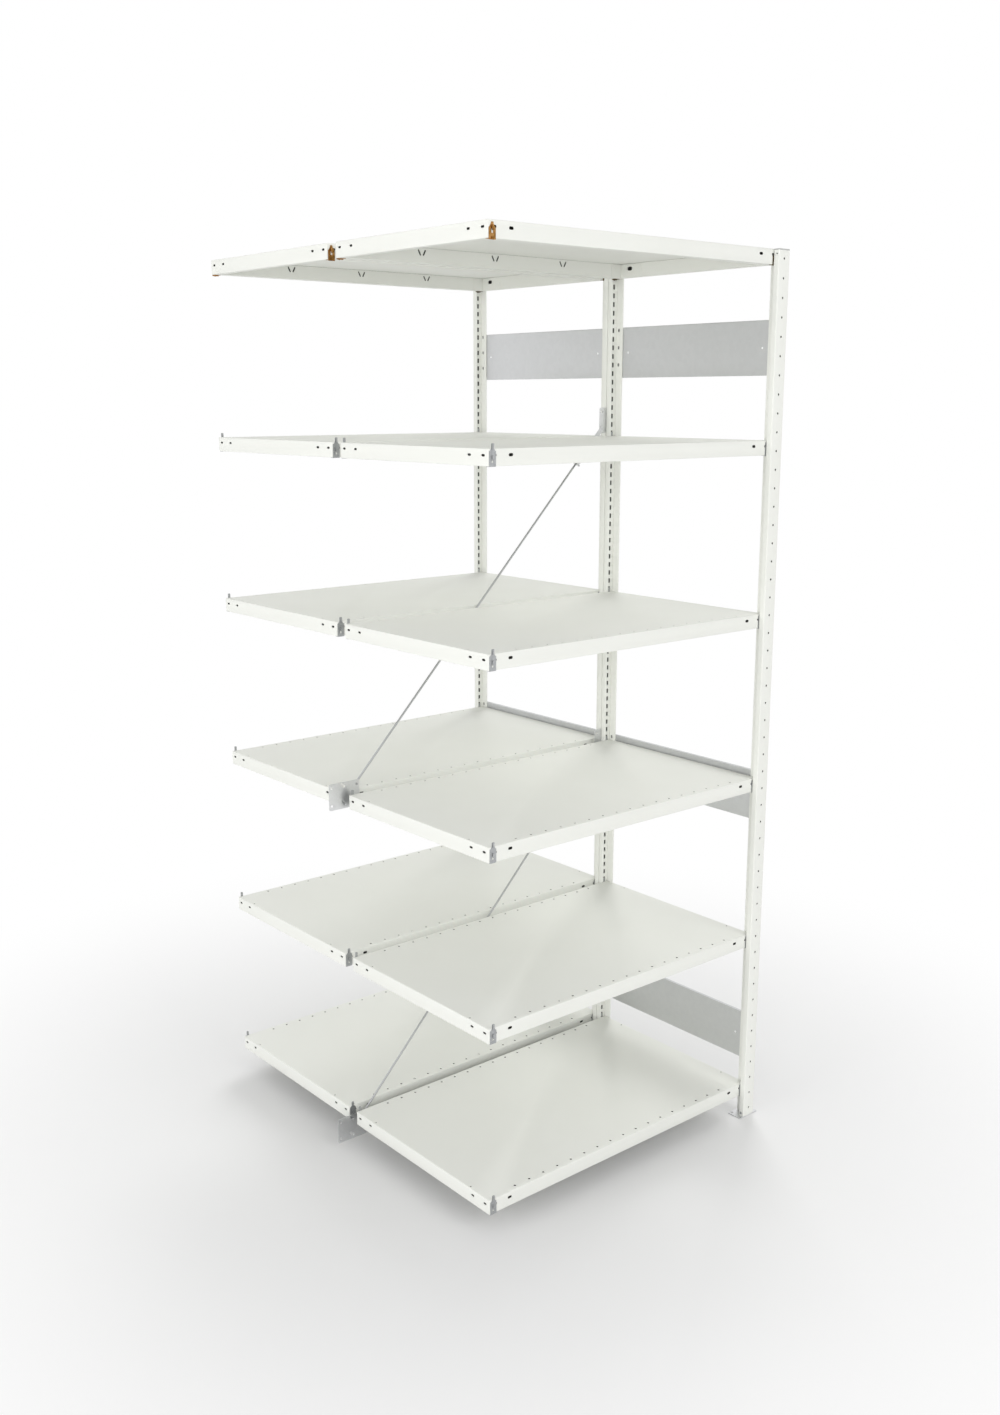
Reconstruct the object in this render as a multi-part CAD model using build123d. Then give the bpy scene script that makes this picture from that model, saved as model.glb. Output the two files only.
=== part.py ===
from build123d import *
import math
import os

os.makedirs("parts", exist_ok=True)

# Double-sided add-on bay of clip-together steel shelving.
# Two single-sided frames stand back to back at the right-hand end, and six levels of
# folded steel shelves run from them to the left, in a front row and a back row.
# The left-hand ends carry their clips ready for the uprights of the neighbouring bay.
# Millimetres. X runs along the shelves, Y across the depth, front row on the minus side,
# and Z up. The origin is on the floor, in the middle of the bay both ways.

# The bay
bay_pitch = 1002.4            # from one line of uprights to the next
lower_level_count = 5         # levels under the top shelf
level_steps = 19              # slots from one level to the next
lowest_level_slot = 3         # the lowest shelf's lower slot, counted from zero

# Uprights: a closed flange tube with a double-sheet stem, a T in plan
flange_width = 45.0
flange_depth = 18.0
flange_wall = 1.5
flange_corner_cut = 2.0       # the rolled corners, taken off flat
stem_reach = 25.0
stem_thickness = 3.0
slot_count = 100
slot_pitch = 25.0
slot_width = 7.0
slot_height = 14.0
slot_offset = 15.0            # from the upright's centre line
first_slot_height = 12.5      # centre of the lowest slot, above the floor
top_margin = 12.5             # from the highest slot's centre to the top of the bay

# Plastic caps in the tops of the flange tubes
cap_head_height = 4.0
cap_plug_depth = 6.0
cap_plug_wall = 1.2
cap_plug_clearance = 0.2

# Foot plates under the uprights, each with a tab up inside the tube
foot_length = 78.0
foot_sheet = 2.0
foot_lip = 0.5                # proud of the upright's outer face
foot_inner_reach = 47.0       # from the upright's outer face, under the shelves
foot_corner_cut = 3.0
foot_tab_width = 12.0
foot_tab_height = 18.0
foot_tab_clearance = 0.2
anchor_offset = 29.0          # from the upright's centre line, towards the bay
anchor_setback = 7.0          # from the plate's inner edge
anchor_radius = 4.5
foot_screw_height = 10.8
foot_screw_radius = 2.5
foot_screw_across_flats = 8.0
foot_screw_head_height = 2.2
foot_screw_tip = 3.0          # past the tab
screw_hole_clearance = 0.2

# Shelves: one sheet, folded down, in and up again along all four edges
shelf_depth = 600.0
shelf_height = 40.0
shelf_sheet = 1.0
shelf_end_clearance = 0.7     # to the side of the upright's stem
long_fold_width = 30.0
short_fold_width = 18.0
return_gap = 0.5              # from the inner return's edge to the top sheet

# Shelf clips: a plate between the upright and the shelf, hooked into two slots
clip_sheet = 1.0
clip_width = 20.0
clip_shelf_clearance = 0.2
clip_tongue_reach = 12.0      # under the shelf's edge
hook_width = 5.0
hook_height = 8.0
hook_drop = 4.0               # behind the wall, below the slot's lower edge
hook_clearance = 0.2
seat_rise = 15.8              # shelf top above the centre of its lower slot
clip_tip_margin = 1.8         # above the upper hook
clip_neck_width = 7.0
clip_neck_height = 11.0       # from the tip down to the sloped shoulders
clip_slope_height = 6.0
top_clip_tip_margin = 6.5     # the same three on the clips of the top shelf
top_clip_neck_height = 4.0
top_clip_slope_height = 7.0

# Side panels, hooked into the stems on the side away from the bay
panel_height = 146.0
panel_sheet = 1.0
panel_rim = 8.0
panel_side_clearance = 2.0
panel_hook_rise = 14.5        # the middle hook above the panel's middle
panel_slots = (10, 40, 90)    # the slot that each panel's middle hook lines up with
panel_hook_count = 3
panel_hook_step = 50.0
panel_hook_setback = 9.5      # from the flange's inner face
panel_hook_width = 3.6
panel_hook_height = 8.0
panel_hook_clearance = 0.4
panel_hook_inset = 0.3        # short of the stem's far side

# Brace plates in the gap between the two rows
brace_sheet = 1.5
brace_plate_width = 100.0
brace_plate_end_reach = 40.0  # right-hand plates, from their middle out past the uprights
brace_plate_height = 75.0
brace_corner_cut = 5.0
brace_hole_radius = 3.5
brace_hole_spacing_x = 82.0
brace_hole_spacing_z = 50.0
keyhole_radius = 4.5
keyhole_slot_width = 5.0
keyhole_slot_reach = 12.0     # centre of the round part to the slot's end centre
keyhole_pitch = 50.0          # the pitch of the round holes in the uprights' outer faces
keyhole_slot_angle = 135.0
upper_plate_height = 2050.0
plate_drop = 1000.0           # from the upper to the lower plate, and right to left

# Bolts that join the two frames through the brace plates
frame_bolt_radius = 2.6
frame_bolt_hole_clearance = 0.2
frame_bolt_across_flats = 8.0
frame_bolt_head_height = 3.0

# Diagonal rods with a strap and a tension nut at the upper end
rod_radius = 3.0
rod_plate_clearance = 2.0
rod_hook_proud = 3.0
rod_end_reach = 28.0          # above the strap's tab
strap_length = 141.0          # from the plate's hole to the tab's face
strap_width = 14.0
strap_sheet = 2.0
strap_end_margin = 6.0
strap_tongue_width = 5.0
strap_tongue_proud = 2.5
strap_hole_clearance = 0.3
nut_across_flats = 10.0
nut_height = 5.2
nut_clearance = 0.05
nut_seat_clearance = 0.2

# Small punched holes, and the screws in them, have this many sides
small_hole_sides = 8
nut_sides = 6

# Shared places
overrun = 1.0
upright_x = bay_pitch / 2
overall_height = first_slot_height + slot_pitch * (slot_count - 1) + top_margin
upright_top = overall_height - cap_head_height
upright_length = upright_top - foot_sheet
shelf_length = bay_pitch - stem_thickness - 2 * shelf_end_clearance
shelf_to_outer_face = flange_depth + clip_sheet + clip_shelf_clearance
frame_depth = shelf_depth + 2 * shelf_to_outer_face
middle_outer_y = -brace_sheet / 2
front_outer_y = middle_outer_y - frame_depth
shelf_centre_y = middle_outer_y - frame_depth / 2
foot_depth = foot_lip + foot_inner_reach
foot_centre_y = foot_inner_reach - foot_depth / 2
tab_centre_y = flange_depth / 2
frame_bolt_heights = [
    level + side * keyhole_pitch / 2
    for level in (upper_plate_height, upper_plate_height - plate_drop)
    for side in (-1, 1)
]


def slot_z(index):
    return first_slot_height + slot_pitch * index


def shelf_top(level):
    if level < lower_level_count:
        return slot_z(lowest_level_slot + level_steps * level) + seat_rise
    return overall_height


def lower_slot(level):
    if level < lower_level_count:
        return lowest_level_slot + level_steps * level
    return slot_count - 2


def box(x, y, z):
    """A box from three pairs of lower and upper limits."""
    size = [pair[1] - pair[0] for pair in (x, y, z)]
    middle = [(pair[1] + pair[0]) / 2 for pair in (x, y, z)]
    return Pos(*middle) * Box(*size)


def cut_corners(width, height, cut):
    """A rectangle with its four corners taken off."""
    return chamfer(Rectangle(width, height).vertices(), cut)


def bar(outline, start, end, direction):
    """An outline drawn out between two heights on an axis through the origin."""
    plane = Plane(origin=Vector(*direction) * start, z_dir=direction)
    return extrude(plane * outline, end - start)


def small_round(radius):
    return RegularPolygon(radius, small_hole_sides, major_radius=False)


def back_row(shape):
    """The same piece in the back row, mirrored through the middle of the bay."""
    return mirror(shape, about=Plane.XZ)


def at_upright(shape, outer_y, inward):
    """Sets a piece made in an upright's own frame against the bay's right-hand line.

    In its own frame an upright has its outer face at zero, with plus Y towards the shelves.
    """
    if inward < 0:
        shape = mirror(shape, about=Plane.XZ)
    return Pos(upright_x, outer_y, 0) * shape


def four_places(shape):
    """Front, middle front, middle back and back copies of an upright's piece."""
    front = at_upright(shape, front_outer_y, 1)
    middle = at_upright(shape, middle_outer_y, -1)
    return {
        "front": front,
        "middle_front": middle,
        "middle_back": back_row(middle),
        "back": back_row(front),
    }


# Uprights

def upright_profile():
    centre = Pos(0, flange_depth / 2)
    flange = centre * cut_corners(flange_width, flange_depth, flange_corner_cut)
    bore = centre * Rectangle(flange_width - 2 * flange_wall, flange_depth - 2 * flange_wall)
    stem = Pos(0, flange_depth + stem_reach / 2) * Rectangle(stem_thickness, stem_reach)
    return flange - bore + stem


def upright(joined):
    """One upright; joined is true for the middle ones, which are bolted back to back."""
    post = extrude(Pos(0, 0, foot_sheet) * upright_profile(), upright_length)
    inner_wall = (flange_depth - flange_wall - overrun, flange_depth + overrun)
    cuts = []
    for index in range(slot_count):
        centre = slot_z(index)
        cuts.append(box(
            (-slot_offset - slot_width / 2, -slot_offset + slot_width / 2),
            inner_wall,
            (centre - slot_height / 2, centre + slot_height / 2)))
    stem_side = stem_thickness / 2 + overrun
    hook_y = flange_depth + panel_hook_setback
    hook_half = panel_hook_width / 2 + panel_hook_clearance
    for middle in panel_slots:
        for low in panel_hook_lows(middle):
            cuts.append(box(
                (-stem_side, stem_side),
                (hook_y - hook_half, hook_y + hook_half),
                (low, low + panel_hook_height + 2 * panel_hook_clearance)))
    side_hole = bar(
        small_round(foot_screw_radius + screw_hole_clearance),
        -flange_width / 2 - overrun, -flange_width / 2 + flange_wall + overrun, (1, 0, 0))
    cuts.append(Pos(0, tab_centre_y, foot_screw_height) * side_hole)
    if joined:
        wall_hole = bar(
            small_round(frame_bolt_radius + frame_bolt_hole_clearance),
            -overrun, flange_wall + overrun, (0, 1, 0))
        for height in frame_bolt_heights:
            cuts.append(Pos(0, 0, height) * wall_hole)
    return post - cuts


def cap():
    centre = Pos(0, flange_depth / 2)
    head = centre * cut_corners(flange_width, flange_depth, flange_corner_cut)
    plug_width = flange_width - 2 * (flange_wall + cap_plug_clearance)
    plug_depth = flange_depth - 2 * (flange_wall + cap_plug_clearance)
    plug = centre * (Rectangle(plug_width, plug_depth) - Rectangle(
        plug_width - 2 * cap_plug_wall, plug_depth - 2 * cap_plug_wall))
    low = upright_top - cap_plug_depth
    return extrude(Pos(0, 0, upright_top) * head, cap_head_height) + extrude(
        Pos(0, 0, low) * plug, cap_plug_depth)


def foot():
    plate = cut_corners(foot_length, foot_depth, foot_corner_cut)
    shape = extrude(Pos(0, foot_centre_y) * plate, foot_sheet)
    anchor = Pos(-anchor_offset, foot_inner_reach - anchor_setback, foot_sheet / 2) * Cylinder(
        anchor_radius, foot_sheet + 2 * overrun)
    tab_outer = -flange_width / 2 + flange_wall + foot_tab_clearance
    tab = box(
        (tab_outer, tab_outer + foot_sheet),
        (tab_centre_y - foot_tab_width / 2, tab_centre_y + foot_tab_width / 2),
        (0, foot_tab_height))
    hole = bar(
        small_round(foot_screw_radius + screw_hole_clearance),
        tab_outer - overrun, tab_outer + foot_sheet + overrun, (1, 0, 0))
    return shape + tab - anchor - Pos(0, tab_centre_y, foot_screw_height) * hole


def foot_screw():
    face = -flange_width / 2
    tip = face + flange_wall + foot_tab_clearance + foot_sheet + foot_screw_tip
    head_outline = RegularPolygon(
        foot_screw_across_flats / 2, nut_sides, major_radius=False)
    head = bar(head_outline, face - foot_screw_head_height, face, (1, 0, 0))
    shank = bar(small_round(foot_screw_radius), face, tip, (1, 0, 0))
    return Pos(0, tab_centre_y, foot_screw_height) * (head + shank)


# Shelves

def shelf(level):
    """A shelf of the front row, its edges folded round to an inner return."""
    top = shelf_top(level)
    low = top - shelf_height
    half_length = shelf_length / 2
    half_depth = shelf_depth / 2
    under_sheet = top - shelf_sheet
    blank = box((-half_length, half_length), (-half_depth, half_depth), (low, top))
    inner_length = half_length - shelf_sheet
    inner_depth = half_depth - shelf_sheet
    pocket = box(
        (-half_length + short_fold_width, half_length - short_fold_width),
        (-half_depth + long_fold_width, half_depth - long_fold_width),
        (low - overrun, under_sheet))
    gap_above_returns = box(
        (-inner_length, inner_length), (-inner_depth, inner_depth),
        (under_sheet - return_gap, under_sheet))
    cuts = [pocket, gap_above_returns]
    for side in (-1, 1):
        channel_y = side * (half_depth - long_fold_width / 2)
        channel_x = side * (half_length - short_fold_width / 2)
        half_long = long_fold_width / 2 - shelf_sheet
        half_short = short_fold_width / 2 - shelf_sheet
        cuts.append(box(
            (-inner_length, inner_length),
            (channel_y - half_long, channel_y + half_long),
            (low + shelf_sheet, under_sheet)))
        cuts.append(box(
            (channel_x - half_short, channel_x + half_short),
            (-inner_depth, inner_depth),
            (low + shelf_sheet, under_sheet)))
    return Pos(0, shelf_centre_y, 0) * (blank - cuts)


# Clips

def clip(level):
    """A clip in the frame of an upright, with the flange's inner face at its back."""
    top = shelf_top(level)
    seat = top - shelf_height
    lower = slot_z(lower_slot(level)) - slot_height / 2
    upper = lower + slot_pitch
    is_top = level == lower_level_count
    margin = top_clip_tip_margin if is_top else clip_tip_margin
    neck_height = top_clip_neck_height if is_top else clip_neck_height
    slope_height = top_clip_slope_height if is_top else clip_slope_height
    half = clip_width / 2
    half_neck = clip_neck_width / 2
    back = flange_depth
    front = flange_depth + clip_sheet
    tip = upper + hook_height + margin
    neck_low = tip - neck_height
    half_outline = [
        (half, min(seat - clip_sheet, lower)),
        (half, neck_low - slope_height),
        (half_neck, neck_low),
        (half_neck, tip),
    ]
    outline = half_outline + [(-x, z) for x, z in reversed(half_outline)]
    face = Plane(origin=(0, back, 0), x_dir=(1, 0, 0), z_dir=(0, -1, 0))
    shape = extrude(face * make_face(Polyline(outline, close=True)), -clip_sheet)
    shape += box(
        (-half, half),
        (back, front + clip_shelf_clearance + clip_tongue_reach),
        (seat - clip_sheet, seat))
    half_hook = hook_width / 2
    lip_face = flange_depth - flange_wall - hook_clearance
    for low in (lower, upper):
        shape += box(
            (-half_hook, half_hook), (lip_face - clip_sheet, front), (low, low + hook_height))
        shape += box(
            (-half_hook, half_hook), (lip_face - clip_sheet, lip_face),
            (low - hook_drop, low + hook_height))
    return shape


def clip_pair(level, line_x, side):
    """The two clips at one end of a front-row shelf, on its front and its rear edge."""
    one = clip(level)
    place_x = line_x + side * slot_offset
    return [
        Pos(place_x, front_outer_y, 0) * one,
        Pos(place_x, middle_outer_y, 0) * mirror(one, about=Plane.XZ),
    ]


# Side panels

def panel_hook_lows(middle_slot):
    """Lower edges of the stem holes that one panel hooks into."""
    middle = slot_z(middle_slot) - panel_hook_height / 2
    first = -(panel_hook_count - 1) / 2
    return [middle + (first + index) * panel_hook_step for index in range(panel_hook_count)]


def panel(middle_slot):
    """A side panel of the front frame."""
    near = upright_x + stem_thickness / 2
    far = near + panel_sheet
    middle_z = slot_z(middle_slot) - panel_hook_rise
    low = middle_z - panel_height / 2
    high = middle_z + panel_height / 2
    front_y = front_outer_y + flange_depth + panel_side_clearance
    rear_y = middle_outer_y - flange_depth - panel_side_clearance
    shape = box((near, far), (front_y, rear_y), (low, high))
    for edge in ((low, low + panel_sheet), (high - panel_sheet, high)):
        shape += box((near, near + panel_rim), (front_y, rear_y), edge)
    hook_far = upright_x - stem_thickness / 2 + panel_hook_inset
    hook_in = flange_depth + panel_hook_setback
    half = panel_hook_width / 2
    for hook_y in (front_outer_y + hook_in, middle_outer_y - hook_in):
        for hook_low in panel_hook_lows(middle_slot):
            shape += box(
                (hook_far, far), (hook_y - half, hook_y + half),
                (hook_low, hook_low + panel_hook_height))
    return shape


# Bracing

def brace_plate(line_x, middle_z, right_reach):
    """A brace plate with rod holes and two keyholes, upright in the middle gap."""
    left_reach = brace_plate_width / 2
    outline = Pos((right_reach - left_reach) / 2, 0) * cut_corners(
        left_reach + right_reach, brace_plate_height, brace_corner_cut)
    for hole_x in (-brace_hole_spacing_x / 2, brace_hole_spacing_x / 2):
        if hole_x < right_reach:
            for side_z in (-1, 1):
                outline -= Pos(
                    hole_x, side_z * brace_hole_spacing_z / 2) * small_round(brace_hole_radius)
    slot = Rot(0, 0, keyhole_slot_angle) * Pos(keyhole_slot_reach / 2, 0) * Rectangle(
        keyhole_slot_reach, keyhole_slot_width)
    for side_z in (-1, 1):
        keyhole = small_round(keyhole_radius) + slot
        outline -= Pos(0, side_z * keyhole_pitch / 2) * keyhole
    face = Plane(origin=(line_x, brace_sheet / 2, middle_z), x_dir=(1, 0, 0), z_dir=(0, -1, 0))
    return extrude(face * outline, brace_sheet)


def frame_bolt(height):
    """A bolt through both uprights' outer walls and the brace plate between them."""
    grip = brace_sheet / 2 + flange_wall
    end = grip + frame_bolt_head_height
    hexagon = RegularPolygon(frame_bolt_across_flats / 2, nut_sides, major_radius=False)
    shank = bar(small_round(frame_bolt_radius), -grip, grip, (0, 1, 0))
    head = bar(hexagon, grip, end, (0, 1, 0))
    nut = bar(hexagon, -end, -grip, (0, 1, 0))
    return Pos(upright_x, 0, height) * (shank + head + nut)


rod_y = brace_sheet / 2 + rod_radius + rod_plate_clearance


def brace_line(upper_z):
    """Upper and lower hole of one diagonal, and the unit direction from upper to lower."""
    upper = Vector(
        upright_x - brace_hole_spacing_x / 2, 0, upper_z - brace_hole_spacing_z / 2)
    lower = Vector(
        -upright_x + brace_hole_spacing_x / 2, 0,
        upper_z - plate_drop + brace_hole_spacing_z / 2)
    return upper, lower, (lower - upper).normalized()


def strap_frame(upper_z):
    """A place at the upper hole, with local X down the diagonal and local Y as the bay's."""
    upper, lower, along = brace_line(upper_z)
    return Plane(origin=upper, x_dir=along, z_dir=along.cross(Vector(0, 1, 0))).location


def rod(upper_z):
    """A rod from its hooked lower end up through the strap's tab."""
    upper, lower, along = brace_line(upper_z)
    offset = Vector(0, rod_y, 0)
    hook_tip = lower - Vector(0, brace_sheet / 2 + rod_hook_proud, 0)
    top_end = upper + along * (strap_length - rod_end_reach) + offset
    path = Polyline(hook_tip, lower + offset, top_end)
    section = Plane(origin=hook_tip, z_dir=(0, 1, 0)) * Circle(rod_radius)
    return sweep(section, path=path, transition=Transition.RIGHT)


def strap(upper_z):
    """A flat strap hooked into the upper plate, its lower end turned up into a tab."""
    half = strap_width / 2
    face = -brace_sheet / 2
    tab_end = strap_length + strap_sheet
    shape = box((-strap_end_margin, tab_end), (face - strap_sheet, face), (-half, half))
    shape += box(
        (strap_length, tab_end), (face - strap_sheet, rod_y + half), (-half, half))
    shape += box(
        (-strap_sheet / 2, strap_sheet / 2), (face - strap_sheet, -face + strap_tongue_proud),
        (-strap_tongue_width / 2, strap_tongue_width / 2))
    hole = bar(
        small_round(rod_radius + strap_hole_clearance),
        strap_length - overrun, tab_end + overrun, (1, 0, 0))
    return strap_frame(upper_z) * (shape - Pos(0, rod_y, 0) * hole)


def tension_nut(upper_z):
    """The hexagon nut that draws the rod through the strap's tab."""
    outer = RegularPolygon(nut_across_flats / 2, nut_sides, major_radius=False)
    ring = outer - Circle(rod_radius + nut_clearance)
    end = strap_length - nut_seat_clearance
    return strap_frame(upper_z) * Pos(0, rod_y, 0) * bar(ring, end - nut_height, end, (1, 0, 0))


def write(name, shape):
    if isinstance(shape, list):
        shape = Compound(children=shape)
    export_step(shape, "parts/" + name + ".step")


outer_uprights = four_places(upright(False))
joined_uprights = four_places(upright(True))
caps = four_places(cap())
feet = four_places(foot())
screws = four_places(foot_screw())
for place in outer_uprights:
    chosen = joined_uprights if place.startswith("middle") else outer_uprights
    write("upright_" + place, chosen[place])
    write("cap_" + place, caps[place])
    write("foot_" + place, feet[place])
write("foot_screws", list(screws.values()))

for level in range(lower_level_count + 1):
    number = str(level + 1)
    front_shelf = shelf(level)
    free_clips = clip_pair(level, -upright_x, 1)
    post_clips = clip_pair(level, upright_x, -1)
    write("shelf_" + number + "_front", front_shelf)
    write("shelf_" + number + "_back", back_row(front_shelf))
    write("free_clips_" + number + "_front", free_clips)
    write("free_clips_" + number + "_back", [back_row(piece) for piece in free_clips])
    write("post_clips_" + number, post_clips + [back_row(piece) for piece in post_clips])

for name, middle_slot in zip(("lower", "middle", "upper"), panel_slots):
    front_panel = panel(middle_slot)
    write("panel_" + name + "_front", front_panel)
    write("panel_" + name + "_back", back_row(front_panel))

for name, upper_z in (("upper", upper_plate_height), ("lower", upper_plate_height - plate_drop)):
    write(
        "brace_plate_" + name + "_right",
        brace_plate(upright_x, upper_z, brace_plate_end_reach))
    write(
        "brace_plate_" + name + "_left",
        brace_plate(-upright_x, upper_z - plate_drop, brace_plate_width / 2))
    write("brace_rod_" + name, rod(upper_z))
    write("rod_strap_" + name, strap(upper_z))
    write("tension_nut_" + name, tension_nut(upper_z))
write("frame_bolts", [frame_bolt(height) for height in frame_bolt_heights])
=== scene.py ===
import math
import bpy
from mathutils import Matrix, Vector


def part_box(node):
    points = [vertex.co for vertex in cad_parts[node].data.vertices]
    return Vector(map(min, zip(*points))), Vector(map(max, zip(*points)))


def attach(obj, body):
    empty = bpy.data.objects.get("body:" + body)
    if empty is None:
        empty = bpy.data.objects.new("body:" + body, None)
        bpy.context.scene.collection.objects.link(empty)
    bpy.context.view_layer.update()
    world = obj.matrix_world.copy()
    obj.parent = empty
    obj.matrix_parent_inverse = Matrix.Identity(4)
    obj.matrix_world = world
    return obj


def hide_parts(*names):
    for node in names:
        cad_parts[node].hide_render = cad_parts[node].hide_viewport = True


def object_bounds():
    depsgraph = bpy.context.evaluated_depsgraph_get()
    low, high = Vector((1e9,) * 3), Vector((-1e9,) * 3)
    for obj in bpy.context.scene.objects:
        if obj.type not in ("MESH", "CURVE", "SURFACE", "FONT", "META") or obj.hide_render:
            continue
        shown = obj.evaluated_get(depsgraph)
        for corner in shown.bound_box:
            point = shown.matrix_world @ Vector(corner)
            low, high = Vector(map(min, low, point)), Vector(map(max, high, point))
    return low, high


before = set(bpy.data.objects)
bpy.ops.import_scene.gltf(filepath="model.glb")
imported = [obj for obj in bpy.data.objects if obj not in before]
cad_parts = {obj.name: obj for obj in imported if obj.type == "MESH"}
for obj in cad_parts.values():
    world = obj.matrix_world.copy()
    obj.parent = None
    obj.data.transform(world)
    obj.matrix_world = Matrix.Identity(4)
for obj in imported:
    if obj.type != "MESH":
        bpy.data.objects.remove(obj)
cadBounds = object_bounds()
mm = 0.001
tiny = 0.01 * mm                    # two places nearer than this are the same
crispAngle = math.radians(30)       # edges sharper than this stay crisp
print("frame loaded:", len(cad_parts), "nodes")


# Modelling helpers

def pick(*objects):
    bpy.ops.object.select_all(action="DESELECT")
    for item in objects:
        item.select_set(True)
    bpy.context.view_layer.objects.active = objects[0]


def settle():
    bpy.ops.object.transform_apply(location=True, rotation=True, scale=True)
    return bpy.context.active_object


def addBlock(low, high):
    bpy.ops.object.select_all(action="DESELECT")
    middle = [(a + b) / 2 for a, b in zip(low, high)]
    bpy.ops.mesh.primitive_cube_add(size=1, location=middle)
    bpy.context.active_object.scale = [b - a for a, b in zip(low, high)]
    return settle()


def addRound(radius, start, end, corners=16, turn=0):
    # a cylinder between two points; turn spins it about its own axis
    bpy.ops.object.select_all(action="DESELECT")
    start, end = Vector(start), Vector(end)
    along = end - start
    bpy.ops.mesh.primitive_cylinder_add(vertices=corners, radius=radius, depth=along.length)
    piece = bpy.context.active_object
    facing = along.to_track_quat("Z", "Y").to_matrix().to_4x4()
    middle = Matrix.Translation((start + end) / 2)
    piece.data.transform(middle @ facing @ Matrix.Rotation(turn, 4, "Z"))
    return piece


def useModifier(piece, kind, **settings):
    pick(piece)
    modifier = piece.modifiers.new(kind.lower(), kind)
    for name, value in settings.items():
        setattr(modifier, name, value)
    bpy.ops.object.modifier_apply(modifier=modifier.name)
    return piece


def repeat(piece, count, offset):
    return useModifier(piece, "ARRAY", count=count, use_relative_offset=False,
                       use_constant_offset=True, constant_offset_displace=offset)


def punch(piece, *cutters):
    for cutter in cutters:
        useModifier(piece, "BOOLEAN", operation="DIFFERENCE", solver="EXACT", object=cutter)
        bpy.data.objects.remove(cutter)
    return piece


def weld(piece, *others):
    for other in others:
        useModifier(piece, "BOOLEAN", operation="UNION", solver="EXACT", object=other)
        bpy.data.objects.remove(other)
    return piece


def join(*pieces):
    pick(*pieces)
    bpy.ops.object.join()
    return bpy.context.active_object


def spread(piece, offsets):
    # copies of one cutter at several offsets, joined; the first one is used up
    copies = []
    for offset in offsets:
        copy = piece.copy()
        copy.data = piece.data.copy()
        bpy.context.collection.objects.link(copy)
        copy.data.transform(Matrix.Translation(offset))
        copies.append(copy)
    bpy.data.objects.remove(piece)
    return join(*copies)


def runsAlong(axis):
    # a test for edges parallel to one axis, given their two ends
    others = [index for index in range(3) if index != "XYZ".index(axis)]
    return lambda a, b: all(abs(a[index] - b[index]) < tiny for index in others)


def roundEdges(piece, wanted, width, segments=3):
    # bevels the edges whose two ends pass the test
    pick(piece)
    bpy.ops.object.mode_set(mode="EDIT")
    bpy.ops.mesh.select_mode(type="EDGE")
    bpy.ops.mesh.select_all(action="DESELECT")
    bpy.ops.object.mode_set(mode="OBJECT")
    points = piece.data.vertices
    for edge in piece.data.edges:
        a, b = (points[index].co for index in edge.vertices)
        edge.select = wanted(a, b)
    bpy.ops.object.mode_set(mode="EDIT")
    bpy.ops.mesh.bevel(offset=width, segments=segments, affect="EDGES")
    bpy.ops.object.mode_set(mode="OBJECT")
    return piece


def taper(piece, wanted, factors):
    # scales the wanted corners towards the frame's origin
    pick(piece)
    bpy.ops.object.mode_set(mode="EDIT")
    bpy.ops.mesh.select_mode(type="VERT")
    bpy.ops.mesh.select_all(action="DESELECT")
    bpy.ops.object.mode_set(mode="OBJECT")
    for vertex in piece.data.vertices:
        vertex.select = wanted(vertex.co)
    bpy.ops.object.mode_set(mode="EDIT")
    bpy.ops.transform.resize(value=factors, center_override=(0, 0, 0))
    bpy.ops.object.mode_set(mode="OBJECT")
    return piece


def addSlot(low, high, through, radius, segments=4):
    # a block with its four edges along one axis rounded, for a slot or a rounded plate
    return roundEdges(addBlock(low, high), runsAlong(through), radius, segments)


def copyTo(source, name, place):
    piece = source.copy()
    piece.data = source.data.copy()
    bpy.context.collection.objects.link(piece)
    piece.data.transform(place)
    if place.determinant() < 0:
        piece.data.flip_normals()
    piece.name = name
    piece.data.name = name
    return piece


def dress(piece, slot, body, nodes, look=None):
    piece.data.materials.clear()
    piece.data.materials.append(materials[look or slot])
    pick(piece)
    bpy.ops.object.shade_smooth_by_angle(angle=crispAngle)
    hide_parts(*nodes)
    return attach(piece, body)


def leaveBare(piece, place, isInside):
    # a second material where the powder does not reach, dark as painted shade, tested in the
    # master's own frame
    piece.data.materials.append(materials["bare_steel_and_shade"])
    toMaster = place.inverted()
    for face in piece.data.polygons:
        if isInside(toMaster @ face.center):
            face.material_index = 1
    return piece


def middleOf(node):
    low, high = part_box(node)
    return (low + high) / 2


# Materials

def colour(code):
    # an sRGB hex colour as linear values
    shares = [int(code[place:place + 2], 16) / 255 for place in (1, 3, 5)]
    linear = [value / 12.92 if value <= 0.04045 else ((value + 0.055) / 1.055) ** 2.4
              for value in shares]
    return (*linear, 1)


def addNode(tree, kind, settings={}, links={}):
    node = tree.nodes.new(kind)
    for name, value in settings.items():
        if isinstance(name, int) or name in node.inputs:
            node.inputs[name].default_value = value
        else:
            setattr(node, name, value)
    for name, source in links.items():
        tree.links.new(source, node.inputs[name])
    return node


def newMaterial(name):
    material = bpy.data.materials.new(name)
    material.use_nodes = True
    tree = material.node_tree
    tree.nodes.clear()
    shader = addNode(tree, "ShaderNodeBsdfPrincipled")
    addNode(tree, "ShaderNodeOutputMaterial", {}, {"Surface": shader.outputs["BSDF"]})
    place = addNode(tree, "ShaderNodeTexCoord").outputs["Object"]
    return material, tree, shader, place


def perMetre(size):
    # the scale of a pattern whose features are this size
    return 1 / size


paint = {
    "pale": "#EBECE7", "deep": "#E6E7E1",       # sprayed thicker and thinner
    "cloud": 240 * mm, "orangePeel": 1.6 * mm, "grain": 0.35 * mm,
    "roughness": (0.58, 0.68), "bump": 0.10, "peelDepth": 0.05 * mm, "ior": 1.4,
}


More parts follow.
